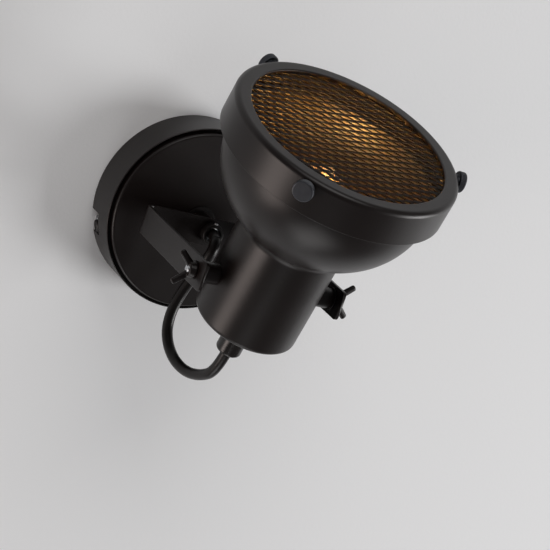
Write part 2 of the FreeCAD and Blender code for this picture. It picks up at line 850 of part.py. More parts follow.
def cord():
    points = cord_points()
    for p in points:
        print(f"cord point ({p.x:.3f}, {p.y:.3f}, {p.z:.3f})")
    edges = []
    at = points[0]
    for before, here, after in zip(points, points[1:], points[2:]):
        into = here - before
        out = after - here
        turn = into.getAngle(out)
        trim = 0.45 * min(into.Length, out.Length)
        radius = trim / math.tan(turn / 2)
        into.normalize()
        out.normalize()
        start = here - into * trim
        end = here + out * trim
        inward = out - into
        inward.normalize()
        middle = here + inward * (radius / math.cos(turn / 2) - radius)
        edges.append(Part.LineSegment(at, start).toShape())
        edges.append(Part.Arc(start, middle, end).toShape())
        print(f"cord turn {math.degrees(turn):.1f} degrees, radius {radius:.1f}")
        at = end
    edges.append(Part.LineSegment(at, points[-1]).toShape())
    path = Part.Wire(edges)
    length = path.Length
    normal = points[1] - points[0]
    section = Part.Wire(Part.makeCircle(cord_radius, points[0], normal))
    solid = path.makePipeShell([section], True, True)
    expected = math.pi * cord_radius ** 2 * length
    print(f"cord length {length:.1f}, volume {solid.Volume:.1f}, section times length {expected:.1f}")
    return solid


# ================================================================ the parts
def build():
    save("canopy_cup", on_wall(canopy_cup()))
    save("wall_bracket", on_wall(wall_bracket()))
    save("side_screws", on_wall(side_screws()))
    save("terminal_block", on_wall(terminal_block()))
    save("earth_screw", on_wall(earth_screw()))
    save("friction_washer", on_wall(friction_washer_ring()))

    save("swivel_stem", on_bracket(swivel_stem()))
    save("stem_tube", on_bracket(stem_tube()))
    save("spring_washer", on_bracket(spring_washer_ring()))
    save("stem_lock_nut", on_bracket(stem_lock_nut()))
    save("u_bracket", on_bracket(u_bracket()))
    save("base_gland", on_bracket(base_gland()))
    save("grip_screw", on_bracket(grip_screw()))
    save("cord", cord())

    save("shade", on_shade(shade()))
    save("bezel_ring", on_shade(bezel_ring()))
    save("mesh_grille", on_shade(mesh_grille()))
    save("seat_ring", on_shade(seat_ring()))
    save("rim_nuts", on_shade(rim_nuts()))
    for name, angle in thumb_angles.items():
        save(f"thumb_screw_{name}", on_shade(thumb_frame(thumb_screw(), angle)))

    for side, place in (("right", lambda s: s), ("left", other_side)):
        save(f"pivot_screw_{side}", on_shade(place(pivot_screw())))
        save(f"pivot_spacer_{side}", on_shade(place(pivot_spacer())))
        save(f"pivot_washer_{side}", on_shade(place(pivot_washer_ring())))
        save(f"wing_nut_{side}", at_pivot(place(wing_nut())))

    save("neck_gland", on_shade(neck_gland()))
    save("inner_stem", on_shade(inner_stem()))
    save("inner_lock_nut", on_shade(inner_lock_nut()))
    save("lamp_holder", on_shade(lamp_holder()))
    save("holder_screw_shell", on_shade(holder_screw_shell()))
    save("holder_contact", on_shade(holder_contact()))
    save("lamp_cap", on_shade(lamp_cap()))
    save("lamp_glass", on_shade(lamp_glass()))
    save("lamp_filament", on_shade(lamp_filament()))


build()
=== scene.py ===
import math

import bmesh
import bpy
import numpy as np
from mathutils import Matrix, Vector


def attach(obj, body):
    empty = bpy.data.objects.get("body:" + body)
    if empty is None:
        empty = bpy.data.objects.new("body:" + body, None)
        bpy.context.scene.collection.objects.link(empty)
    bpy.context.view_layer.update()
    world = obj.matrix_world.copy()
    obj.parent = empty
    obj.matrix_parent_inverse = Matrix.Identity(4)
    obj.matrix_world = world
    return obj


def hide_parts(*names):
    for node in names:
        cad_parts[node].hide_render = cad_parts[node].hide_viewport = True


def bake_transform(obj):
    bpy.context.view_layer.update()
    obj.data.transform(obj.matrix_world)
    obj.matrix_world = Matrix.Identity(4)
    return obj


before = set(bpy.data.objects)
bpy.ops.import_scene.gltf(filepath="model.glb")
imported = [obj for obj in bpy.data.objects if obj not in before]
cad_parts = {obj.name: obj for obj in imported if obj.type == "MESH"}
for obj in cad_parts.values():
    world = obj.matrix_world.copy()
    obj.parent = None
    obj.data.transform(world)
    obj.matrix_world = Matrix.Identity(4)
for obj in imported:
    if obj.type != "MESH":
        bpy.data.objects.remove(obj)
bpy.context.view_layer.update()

# ---------------------------------------------------------------- view and room
# The light hangs on a pale, finely textured wall and is seen from the left and above through a long
# lens. Soft lamps stand low at the right, below, at the left and overhead, and the wall sends light back.

EYE = Vector((-0.53944, -1.43406, 0.61435))
EYE_RIGHT = Vector((0.92170, -0.38790, 0.0))
EYE_DOWN = Vector((-0.15410, -0.36615, -0.91771))
EYE_FORWARD = Vector((0.35598, 0.84585, -0.39725))
FOCAL_PIXELS = 2600.0
PICTURE_PIXELS = 550.0
SENSOR_MM = 36.0
CLIP_START = 0.05


def linear(text):
    """An sRGB hex colour as linear red, green, blue and full alpha."""
    part = np.array([int(text[k:k + 2], 16) for k in (1, 3, 5)]) / 255
    bent = np.where(part <= 0.04045, part / 12.92, ((part + 0.055) / 1.055) ** 2.4)
    return (*bent.tolist(), 1.0)


def add(tree, kind, into=None, **settings):
    """Add a node; settings name its properties, into maps input sockets to values or to outputs."""
    made = tree.nodes.new(kind)
    for name, value in settings.items():
        setattr(made, name, value)
    for socket, value in (into or {}).items():
        if isinstance(value, bpy.types.NodeSocket):
            tree.links.new(value, made.inputs[socket])
        else:
            made.inputs[socket].default_value = value
    return made


def material(name):
    """An empty material, its node tree and its output node."""
    made = bpy.data.materials.new(name)
    made.use_nodes = True
    made.node_tree.nodes.clear()
    return made, made.node_tree, add(made.node_tree, "ShaderNodeOutputMaterial")


camera = bpy.data.objects.new("camera", bpy.data.cameras.new("camera"))
bpy.context.scene.collection.objects.link(camera)
camera.data.sensor_width = SENSOR_MM
camera.data.lens = FOCAL_PIXELS / PICTURE_PIXELS * SENSOR_MM
camera.data.clip_start = CLIP_START
turn = Matrix((EYE_RIGHT, -EYE_DOWN, -EYE_FORWARD)).transposed()
camera.matrix_world = Matrix.Translation(EYE) @ turn.to_4x4()
bpy.context.scene.camera = camera
bpy.context.scene.view_settings.view_transform = "Standard"


def wall_paint():
    """Matt emulsion on a fine textured paper: a faint grain about 2.4 mm across."""
    made, tree, out = material("matt_wall_paint")
    place = add(tree, "ShaderNodeTexCoord").outputs["Object"]
    grain = add(tree, "ShaderNodeTexNoise", {"Vector": place, "Scale": 420.0, "Detail": 3.0})
    weave = add(tree, "ShaderNodeBump", {
        "Height": grain.outputs["Fac"], "Strength": 0.16, "Distance": 0.0006})
    coat = add(tree, "ShaderNodeBsdfPrincipled", {
        "Base Color": linear("#e9ebec"), "Roughness": 0.85, "Specular IOR Level": 0.2,
        "Normal": weave.outputs["Normal"]})
    # From behind, the wall lets the eye through, so that the light's back can be looked at.
    behind = add(tree, "ShaderNodeNewGeometry").outputs["Backfacing"]
    seen = add(tree, "ShaderNodeLightPath").outputs["Is Camera Ray"]
    both = add(tree, "ShaderNodeMath", {0: behind, 1: seen}, operation="MULTIPLY")
    clear = add(tree, "ShaderNodeBsdfTransparent")
    mixed = add(tree, "ShaderNodeMixShader", {0: both.outputs[0], 1: coat.outputs[0], 2: clear.outputs[0]})
    tree.links.new(mixed.outputs[0], out.inputs["Surface"])
    return made


WALL_HALF, WALL_PLACE = 4.0, 0.0002  # the wall starts just behind the canopy's foot
wall_mesh = bpy.data.meshes.new("wall")
corners = ((-WALL_HALF, -WALL_HALF), (WALL_HALF, -WALL_HALF), (WALL_HALF, WALL_HALF), (-WALL_HALF, WALL_HALF))
wall_mesh.from_pydata([(x, WALL_PLACE, z) for x, z in corners], [], [(0, 1, 2, 3)])
wall = bpy.data.objects.new("wall", wall_mesh)
bpy.context.scene.collection.objects.link(wall)
wall.data.materials.append(wall_paint())

world = bpy.data.worlds.new("studio")
bpy.context.scene.world = world
world.use_nodes = True
backdrop = world.node_tree.nodes["Background"].inputs
backdrop["Color"].default_value = linear("#f1f0f2")
backdrop["Strength"].default_value = 0.16


LAMP_AIM = Vector((0.02, -0.12, 0.02))


def soft_lamp(name, place, size, power, colour):
    """A square soft lamp at a place, turned to face the light on the wall."""
    made = bpy.data.objects.new(name, bpy.data.lights.new(name, "AREA"))
    bpy.context.scene.collection.objects.link(made)
    made.data.size = size
    made.data.energy = power
    made.data.color = linear(colour)[:3]
    made.location = place
    made.rotation_euler = (LAMP_AIM - Vector(place)).to_track_quat("-Z", "Y").to_euler()


soft_lamp("lamp_right_low", (2.1, -1.2, -1.2), 1.3, 54.0, "#fffdfd")
soft_lamp("lamp_below", (-1.1, -0.9, -2.1), 1.3, 14.0, "#fffdfc")
soft_lamp("lamp_left", (-1.8, -0.35, -0.25), 0.8, 12.0, "#ffefe8")
soft_lamp("lamp_over", (0.5, -1.6, 1.9), 1.4, 20.0, "#fffbf9")

# ---------------------------------------------------------------- canopy
# A pressed steel cup over the wall bracket: a straight side with a rolled edge, a dark groove and a
# raised flat face. Two notches at its foot clear the side screws. Powder coated satin black.

MM = 0.001
WALL_AXES = np.array([[1.0, 0.0, 0.0], [0.0, 0.0, 1.0], [0.0, -1.0, 0.0]])
WALL_ORIGIN = np.zeros(3)


def rounded(corners, steps=6, hold=0.25):
    """A line of (r, h) points through (r, h, radius) corners. Each corner is an arc from one side's
    tangent point to the other's, and a point held close by on each side keeps the flats flat."""
    given = np.array(corners, float)
    at, radius = given[:, :2], given[:, 2]
    into = np.diff(at, axis=0)
    length = np.linalg.norm(into, axis=1)
    into = into / length[:, None]
    a, b = into[:-1], into[1:]
    angle = np.arccos(np.clip((a * b).sum(1), -1, 1))
    trim = np.minimum(radius[1:-1] * np.tan(angle / 2), 0.48 * np.minimum(length[:-1], length[1:]))
    size = trim / np.maximum(np.tan(angle / 2), 1e-6)
    inward = (b - a) / np.maximum(np.linalg.norm(b - a, axis=1), 1e-9)[:, None]
    middle = at[1:-1] + inward * (size / np.cos(angle / 2))[:, None]
    start, end = at[1:-1] - a * trim[:, None] - middle, at[1:-1] + b * trim[:, None] - middle
    share = np.linspace(0, 1, steps + 1)[None, :, None]
    wide = np.maximum(angle, 1e-6)[:, None, None]
    arc = (np.sin((1 - share) * wide) * start[:, None] + np.sin(share * wide) * end[:, None]) / np.sin(wide)
    arc = arc + middle[:, None]
    spare = np.minimum(hold, 0.3 * np.minimum(length[:-1], length[1:]) - 0.3 * trim)[:, None]
    before, after = arc[:, :1] - (a * spare)[:, None], arc[:, -1:] + (b * spare)[:, None]
    return np.vstack([at[:1], np.concatenate([before, arc, after], 1).reshape(-1, 2), at[-1:]])


def closed(corners, steps=6, hold=0.25):
    """The same for a closed outline that starts and ends in the middle of its first side."""
    first, second = np.array(corners[0], float), np.array(corners[1], float)
    middle = ((first + second) / 2)[:2].tolist() + [0.0]
    return rounded([middle, *corners[1:], corners[0], middle], steps, hold)[:-1]


def shell(name, grid, around=True, along=True):
    """A mesh of quads over a grid of points (rows, columns, xyz), joined round where asked. Doubles
    are merged, which closes poles, and the faces are turned outwards."""
    rows, columns = grid.shape[:2]
    index = np.arange(rows * columns).reshape(rows, columns)
    if around:
        index = np.vstack([index, index[:1]])
    if along:
        index = np.hstack([index, index[:, :1]])
    quads = np.stack([index[:-1, :-1], index[1:, :-1], index[1:, 1:], index[:-1, 1:]], -1).reshape(-1, 4)
    return solid(name, grid.reshape(-1, 3), quads)


def solid(name, points, faces):
    """A smooth mesh object from millimetre points in the row frame, closed and facing outwards."""
    mesh = bpy.data.meshes.new(name)
    mesh.from_pydata((np.asarray(points) * MM).tolist(), [], np.asarray(faces).tolist())
    made = bmesh.new()
    made.from_mesh(mesh)
    bmesh.ops.remove_doubles(made, verts=made.verts, dist=2e-6)
    bmesh.ops.dissolve_degenerate(made, edges=made.edges, dist=1e-7)
    bmesh.ops.recalc_face_normals(made, faces=made.faces)
    made.to_mesh(mesh)
    made.free()
    mesh.shade_smooth()
    piece = bpy.data.objects.new(name, mesh)
    bpy.context.scene.collection.objects.link(piece)
    return piece


def spun(profile, origin, axes, count=128):
    """Points of a spun surface: x = r cos a, y = r sin a, z = h in a frame of three axes."""
    angle = np.linspace(0, 2 * math.pi, count, endpoint=False)[:, None]
    r, h = profile[:, 0][None], profile[:, 1][None]
    local = np.stack([r * np.cos(angle), r * np.sin(angle), h + 0 * angle], -1)
    return origin + local @ axes


def dress(piece, finish, body, slot, *nodes):
    """Give a piece its finish and the body it rides on, and hide the nodes it stands for. The slot is not
    used.
    """
    piece.data.materials.clear()
    piece.data.materials.append(finish)
    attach(piece, body)
    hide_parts(*nodes)
    return piece


def powder_coat(name, colour, roughness, grain=1.0, gloss=0.32):
    """Satin powder coat on steel: a soft sheen that spreads highlights, with a faint orange peel
    about 1.2 mm across, drawn coarser than the real 0.5 mm so that it shows."""
    made, tree, out = material(name)
    place = add(tree, "ShaderNodeTexCoord").outputs["Object"]
    peel = add(tree, "ShaderNodeTexNoise", {"Vector": place, "Scale": 800.0, "Detail": 2.0})
    bump = add(tree, "ShaderNodeBump", {
        "Height": peel.outputs["Fac"], "Strength": 0.10 * grain, "Distance": 0.0002})
    cloud = add(tree, "ShaderNodeTexNoise", {"Vector": place, "Scale": 35.0, "Detail": 3.0})
    rough = add(tree, "ShaderNodeMapRange", {
        "Value": cloud.outputs["Fac"], "To Min": roughness - 0.035, "To Max": roughness + 0.035})
    dust = add(tree, "ShaderNodeTexNoise", {"Vector": place, "Scale": 2600.0, "Detail": 1.0})
    fleck = add(tree, "ShaderNodeMapRange", {
        "Value": dust.outputs["Fac"], "From Min": 0.35, "From Max": 0.75})
    tint = add(tree, "ShaderNodeMixRGB", {
        "Fac": fleck.outputs[0], "Color1": linear(colour[0]), "Color2": linear(colour[1])})
    coat = add(tree, "ShaderNodeBsdfPrincipled", {
        "Base Color": tint.outputs[0], "Roughness": rough.outputs[0], "IOR": 1.5, "Specular IOR Level": gloss,
        "Normal": bump.outputs["Normal"]})
    tree.links.new(coat.outputs[0], out.inputs["Surface"])
    return made


satin_black = powder_coat("satin_black_powder_coat", ("#0f0908", "#160f0d"), 0.35)

CANOPY_RADIUS, CANOPY_SIDE, CANOPY_SHEET, CANOPY_EDGE = 60.0, 27.2, 1.2, 1.4
FOOT_TOP = 12.0  # the wall below this height follows the notches
FACE_RADIUS, FACE_HEIGHT, GROOVE_FLOOR = 57.4, 30.2, 24.6
NOTCH_HALF, NOTCH_DEPTH, NOTCH_ROUND = 7.5, 11.0, 1.5
STEM_HOLE = 5.1


def canopy_points():
    """A closed spun section whose foot rises along the notches: at angle a the foot stands at
    NOTCH_DEPTH where |R sin a| is under the notch's half width, rounded at its corners."""
    inner = CANOPY_RADIUS - CANOPY_SHEET
    lip = CANOPY_RADIUS - CANOPY_EDGE
    under = FACE_RADIUS - CANOPY_SHEET
    section = closed([
        (inner, FOOT_TOP, 0.1), (inner, 0.0, 0.15), (CANOPY_RADIUS, 0.0, 0.15),
        (CANOPY_RADIUS, CANOPY_SIDE, 0.69), (lip, CANOPY_SIDE, 0.69), (lip, GROOVE_FLOOR, 0.2),
        (FACE_RADIUS, GROOVE_FLOOR, 0.2), (FACE_RADIUS, FACE_HEIGHT, 1.6), (STEM_HOLE, FACE_HEIGHT, 0.1),
        (STEM_HOLE, FACE_HEIGHT - CANOPY_SHEET, 0.1), (under, FACE_HEIGHT - CANOPY_SHEET, 0.5),
        (under, GROOVE_FLOOR - CANOPY_SHEET, 0.2), (inner, GROOVE_FLOOR - CANOPY_SHEET, 0.3)])
    edge = math.asin(NOTCH_HALF / CANOPY_RADIUS)
    beside = [-edge - 1e-4, edge + 1e-4, -edge - 0.01, edge + 0.01]
    near = np.concatenate([np.linspace(-edge, edge, 33), beside])
    angle = np.unique(np.concatenate([np.linspace(0, 2 * math.pi, 192, endpoint=False),
                                      near % (2 * math.pi), (near + math.pi) % (2 * math.pi)]))
    side = np.abs(CANOPY_RADIUS * np.sin(angle))
    bend = np.clip(side - (NOTCH_HALF - NOTCH_ROUND), 0, NOTCH_ROUND)
    foot = NOTCH_DEPTH - NOTCH_ROUND + np.sqrt(NOTCH_ROUND ** 2 - bend ** 2)
    foot = np.where(side <= NOTCH_HALF + 1e-3, foot, 0.0)
    r, h = section[:, 0][None], section[:, 1][None]
    ceiling = FOOT_TOP + 0.5
    wall_part = (r > inner - 0.01) & (h < ceiling)
    raised = foot[:, None] + h * (ceiling - foot[:, None]) / ceiling
    height = np.where(wall_part, raised, h)
    a = angle[:, None]
    local = np.stack([r * np.cos(a), r * np.sin(a), height], -1)
    return WALL_ORIGIN + local @ WALL_AXES


dress(shell("canopy", canopy_points()), satin_black, "base", "black_paint", "canopy_cup")


# ---------------------------------------------------------------- wall bracket and fixings
# A bright zinc-plated steel strap screwed to the wall, with its earth screw and the screws that hold
# the canopy. The mains terminal is moulded nylon. All of it sits inside the canopy.

def plated_metal(name, colour, roughness):
    """Plated, blackened or drawn metal, with soft clouds about 4 mm across in its colour and sheen."""
    made, tree, out = material(name)
    place = add(tree, "ShaderNodeTexCoord").outputs["Object"]
    cloud = add(tree, "ShaderNodeTexNoise", {"Vector": place, "Scale": 250.0, "Detail": 4.0})
    rough = add(tree, "ShaderNodeMapRange", {
        "Value": cloud.outputs["Fac"], "To Min": roughness - 0.08, "To Max": roughness + 0.1})
    tint = add(tree, "ShaderNodeMixRGB", {
        "Fac": cloud.outputs["Fac"], "Color1": linear(colour[0]), "Color2": linear(colour[1])})
    coat = add(tree, "ShaderNodeBsdfPrincipled", {
        "Base Color": tint.outputs[0], "Roughness": rough.outputs[0], "Metallic": 1.0})
    tree.links.new(coat.outputs[0], out.inputs["Surface"])
    return made


def moulding(name, colour, roughness, ripple=0.05, gloss=0.35):
    """Moulded plastic or rubber: nearly one colour through the piece, a fine spark-eroded grain."""
    made, tree, out = material(name)
    place = add(tree, "ShaderNodeTexCoord").outputs["Object"]
    grain = add(tree, "ShaderNodeTexNoise", {"Vector": place, "Scale": 1800.0, "Detail": 2.0})
    bump = add(tree, "ShaderNodeBump", {
        "Height": grain.outputs["Fac"], "Strength": ripple, "Distance": 0.0002})
    cloud = add(tree, "ShaderNodeTexNoise", {"Vector": place, "Scale": 120.0, "Detail": 2.0})
    rough = add(tree, "ShaderNodeMapRange", {
        "Value": cloud.outputs["Fac"], "To Min": roughness - 0.04, "To Max": roughness + 0.04})
    tint = add(tree, "ShaderNodeMixRGB", {
        "Fac": cloud.outputs["Fac"], "Color1": linear(colour[0]), "Color2": linear(colour[1])})
    coat = add(tree, "ShaderNodeBsdfPrincipled", {
        "Base Color": tint.outputs[0], "Roughness": rough.outputs[0], "Specular IOR Level": gloss,
        "Normal": bump.outputs["Normal"]})
    tree.links.new(coat.outputs[0], out.inputs["Surface"])
    return made


bright_zinc = plated_metal("bright_zinc_plate", ("#c9ccd0", "#b6b8ba"), 0.3)
white_nylon = moulding("white_nylon", ("#e2e0d8", "#dad8d0"), 0.5)
black_nylon = moulding("black_nylon", ("#0f0c0b", "#151110"), 0.48, 0.05, 0.22)


def paint_nodes(finish, *nodes):
    """A CAD node whose shape is right keeps it and gets its finish."""
    for name in nodes:
        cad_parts[name].data.materials.clear()
        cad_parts[name].data.materials.append(finish)


paint_nodes(bright_zinc, "wall_bracket", "earth_screw", "swivel_stem", "spring_washer", "stem_lock_nut",
            "grip_screw", "rim_nuts", "inner_stem", "inner_lock_nut")
paint_nodes(satin_black, "side_screws")
paint_nodes(white_nylon, "terminal_block")

# ---------------------------------------------------------------- U bracket and its stem
# Flat steel strip 18 by 2 mm bent to a U with small radii, its arm ends rounded, on a short tube
# that stands on the canopy with a nylon washer between. It is shown turned 21 degrees.

SWIVEL = math.radians(21.0)
ACROSS = np.array([math.cos(SWIVEL), 0.0, -math.sin(SWIVEL)])
UPRIGHT = np.array([math.sin(SWIVEL), 0.0, math.cos(SWIVEL)])
OUT = np.array([0.0, -1.0, 0.0])
BRACKET_AXES = np.array([ACROSS, UPRIGHT, OUT])
STRIP_WIDTH, STRIP_SHEET, STRIP_BEND = 18.0, 2.0, 4.0
ARM_MIDDLE, STRIP_BACK, ARM_TIP, TIP_ROUND, TIP_LENGTH = 46.5, 49.0, 150.0, 2.6, 3.0


def bracket_points():
    """A rounded rectangle carried along the U. Near each end its half width is that of the tip's
    corner circles, and the last rows close to a line."""
    reach = np.array([0.0, 0.25, 0.6, 1.1, 1.7, 2.3, TIP_ROUND])
    straight = ARM_TIP - TIP_LENGTH
    bottom = rounded([(-ARM_MIDDLE, straight, 0), (-ARM_MIDDLE, STRIP_BACK, STRIP_BEND),
                      (ARM_MIDDLE, STRIP_BACK, STRIP_BEND), (ARM_MIDDLE, straight, 0)], 10, 0.5)
    tip = np.stack([0 * reach - ARM_MIDDLE, ARM_TIP - reach], 1)
    path = np.vstack([tip, bottom, tip[::-1] * [-1, 1]])
    along = np.gradient(path, axis=0)
    along /= np.linalg.norm(along, axis=1)[:, None]
    normal = np.stack([along[:, 1], -along[:, 0]], 1)
    end = np.minimum(ARM_TIP - path[:, 1], TIP_ROUND)
    broad, flat = STRIP_WIDTH / 2, STRIP_SHEET / 2
    half = broad - TIP_ROUND + np.sqrt(TIP_ROUND ** 2 - (TIP_ROUND - end) ** 2)
    section = closed([(-flat, -broad, 0.3), (flat, -broad, 0.3), (flat, broad, 0.3), (-flat, broad, 0.3)], 4)
    thin, wide = section[:, 0][None], section[:, 1][None]
    wide = np.sign(wide) * np.minimum(np.abs(wide), half[:, None] - broad + np.abs(wide))
    plane = path[:, None] + normal[:, None] * thin[..., None]
    local = np.stack([plane[..., 0], wide + 0 * thin, plane[..., 1]], -1)
    lid = local[[0, -1]].copy()
    lid[..., 0] = np.array([-ARM_MIDDLE, ARM_MIDDLE])[:, None]
    lid[..., 1] = 0.0
    local = np.concatenate([lid[:1], local, lid[1:]])
    return local @ BRACKET_AXES


dress(shell("bracket", bracket_points(), around=False), satin_black, "bracket", "black_paint", "u_bracket")


def ring(name, bore, radius, low, high, edge, origin, axes, count=96):
    """A spun ring with rounded edges, from low to high along the frame's third axis."""
    corners = [(bore, low, edge), (radius, low, edge), (radius, high, edge), (bore, high, edge)]
    outline = closed(corners, 5, 0.15)
    return shell(name, spun(outline, origin, axes, count))


dress(ring("stem_sleeve", 5.05, 7.0, 31.05, 48.0, 0.3, WALL_ORIGIN, BRACKET_AXES),
      satin_black, "bracket", "black_paint", "stem_tube")
dress(ring("swivel_washer", 5.1, 10.0, 30.2, 30.9, 0.2, WALL_ORIGIN, BRACKET_AXES),
      black_nylon, "base", "black_nylon", "friction_washer")

# ---------------------------------------------------------------- base gland
# A short nylon collar on the bracket's middle, where the cord comes out of the hollow stem. A small
# screw in its side grips the cord.

gland_outline = closed([(4.5, 50.0, 0.2), (6.9, 50.0, 0.2), (6.9, 55.0, 1.2), (4.5, 55.0, 0.5)], 6, 0.15)
dress(shell("base_gland_collar", spun(gland_outline, WALL_ORIGIN, BRACKET_AXES, 72)),
      black_nylon, "bracket", "black_nylon", "base_gland")

# ---------------------------------------------------------------- shade
# One spun and drawn steel shell: a can-shaped neck, a bowl, a small step and a straight rim that the
# bezel slips over. It leans 17.5 degrees from the bracket's upright, towards the room.

LEAN = math.radians(17.5)
PIVOT = np.array([0.0, -136.7, 0.0])
ALONG = math.sin(LEAN) * OUT + math.cos(LEAN) * UPRIGHT
SIDEWAYS = np.cross(ALONG, ACROSS)
SHADE_AXES = np.array([ACROSS, SIDEWAYS, ALONG])
NECK_RADIUS, NECK_BOTTOM, NECK_EDGE, NECK_BLEND = 32.6, -28.0, 3.0, 7.0
BOWL_RADIUS, BOWL_DEPTH, BOWL_TOP = 64.6, 57.1, 88.0
STEP_START, STEP_END, RIM_RADIUS, RIM_TOP, SHADE_SHEET = 91.0, 94.0, 69.4, 109.2, 1.0
INNER_LIFT = 5.0  # inside, the bowl's straight edge stands this much nearer to the grille
BLEND_ARC = 59.0  # near the neck, about as many mm of the ellipse go to one radian of t


def shade_side(inset, blend, edge, lift=0.0):
    """One side of the spun section from the neck's middle to the rim: a straight neck, a blend, then
    the ellipse r = a cos t, h = top + b sin t up to the straight step and rim. Lift raises the step."""
    neck, wide, deep = NECK_RADIUS - inset, BOWL_RADIUS - inset, BOWL_DEPTH - inset
    low, rim = NECK_BOTTOM + inset, RIM_RADIUS - inset
    start = -math.acos(neck / wide)
    join = BOWL_TOP + deep * math.sin(start)
    slope = np.array([-wide * math.sin(start), deep * math.cos(start)])
    slope = slope / np.linalg.norm(slope)
    half = math.acos(slope[1]) / 2
    away = 1.6 * blend * math.tan(half)
    t = np.linspace(start + away / BLEND_ARC, 0.0, 60)
    bowl = np.stack([wide * np.cos(t), BOWL_TOP + deep * np.sin(t)], 1)
    foot = rounded([(0, low, 0), (neck, low, edge), (neck, join, blend), (*bowl[0], 0)], 12, 0.6)[:-1]
    top = rounded([(*bowl[-1], 0), (wide, STEP_START + lift, 1.2), (rim, STEP_END + lift, 1.2),
                   (rim, RIM_TOP, 0)], 6, 0.4)[1:]
    return np.vstack([foot, bowl, top])


outer_side = shade_side(0.0, NECK_BLEND, NECK_EDGE)
inner_side = shade_side(SHADE_SHEET, NECK_BLEND + SHADE_SHEET, NECK_EDGE - SHADE_SHEET, INNER_LIFT)
shade_outline = np.vstack([outer_side, inner_side[::-1]])
shade = shell("shade_shell", spun(shade_outline, PIVOT, SHADE_AXES, 224))
dress(shade, satin_black, "head", "black_paint", "shade")

# The coat inside the bowl is smoother than outside. Inside the rim the coat is darker and matt: a painted
# shade on the rim wall.
shade.data.materials.append(powder_coat("smooth_black_inner_coat", ("#140f09", "#1c150d"), 0.34, 0.6, 0.5))
shade.data.materials.append(powder_coat("painted_shade_rim_coat", ("#070605", "#0b0908"), 0.85, 1.0, 0.08))


def part_coats(piece):
    """Faces that look towards the shade's axis take the inner coat up to the step, and above it the darker
    rim coat, a painted shade.
    """
    faces = piece.data.polygons
    middle, normal = np.zeros(len(faces) * 3), np.zeros(len(faces) * 3)
    faces.foreach_get("center", middle)
    faces.foreach_get("normal", normal)
    place = (middle.reshape(-1, 3) / MM - PIVOT) @ SHADE_AXES.T
    facing = normal.reshape(-1, 3) @ SHADE_AXES.T
    outwards = place[:, :2] / np.linalg.norm(place[:, :2], axis=1)[:, None]
    inside = (facing[:, :2] * outwards).sum(1) < -0.05
    # slot 2, above the step, is the darker rim coat: painted shade on the rim wall
    coat = np.where(place[:, 2] > STEP_START + INNER_LIFT, 2, 1)
    faces.foreach_set("material_index", (inside * coat).astype(np.int32))


part_coats(shade)

# ---------------------------------------------------------------- bezel
# A spun steel ring with a flat front and a rounded edge. Its straight side laps over the shade's rim
# and three thumb screws hold it.

BEZEL_RADIUS, BEZEL_OPENING, BEZEL_SHEET, BEZEL_ROUND, BEZEL_LIP = 71.0, 61.3, 1.2, 3.2, 2.0
BEZEL_REAR, BEZEL_MIDDLE, BEZEL_FRONT = 89.9, 100.0, 112.2
bezel_bore, lip_outside = BEZEL_RADIUS - BEZEL_SHEET, BEZEL_OPENING + BEZEL_SHEET
bezel_back, lip_back = BEZEL_FRONT - BEZEL_SHEET, BEZEL_FRONT - BEZEL_LIP
bezel_outline = closed([
    (bezel_bore, BEZEL_MIDDLE, 0.1), (bezel_bore, BEZEL_REAR, 0.25), (BEZEL_RADIUS, BEZEL_REAR, 0.35),
    (BEZEL_RADIUS, BEZEL_FRONT, BEZEL_ROUND), (BEZEL_OPENING, BEZEL_FRONT, 1.0),
    (BEZEL_OPENING, lip_back, 0.2), (lip_outside, lip_back, 0.2), (lip_outside, bezel_back, 0.2),
    (bezel_bore, bezel_back, 2.0)], 9, 0.4)
dress(shell("bezel", spun(bezel_outline, PIVOT, SHADE_AXES, 256)),
      satin_black, "head", "black_paint", "bezel_ring")
dress(ring("seat_gasket", 63.3, 67.8, 110.0, 111.0, 0.3, PIVOT, SHADE_AXES, 160),
      moulding("matt_black_rubber", ("#1b1a1a", "#201f1f"), 0.8), "head", "black_rubber", "seat_ring")

# ---------------------------------------------------------------- grille
# Expanded steel mesh, slit and stretched from one sheet: diamonds 11.7 mm long and 5.9 mm wide, at
# 15 degrees to the tilt axis, their strands twisted by the stretching. Thin matt black paint.

LONG_WAY, SHORT_WAY, MESH_TURN = 11.74, 5.9, math.radians(-15.0)
STRAND_WIDTH, STRAND_DEPTH, STRAND_TILT = 1.2, 0.84, math.radians(-10.0)
MESH_HEIGHT, MESH_RADIUS = 109.6, 68.0
KNUCKLE = np.array([1.25, 1.0, 0.92, 1.0, 1.25])  # a strand's width along its length, widest at its tips


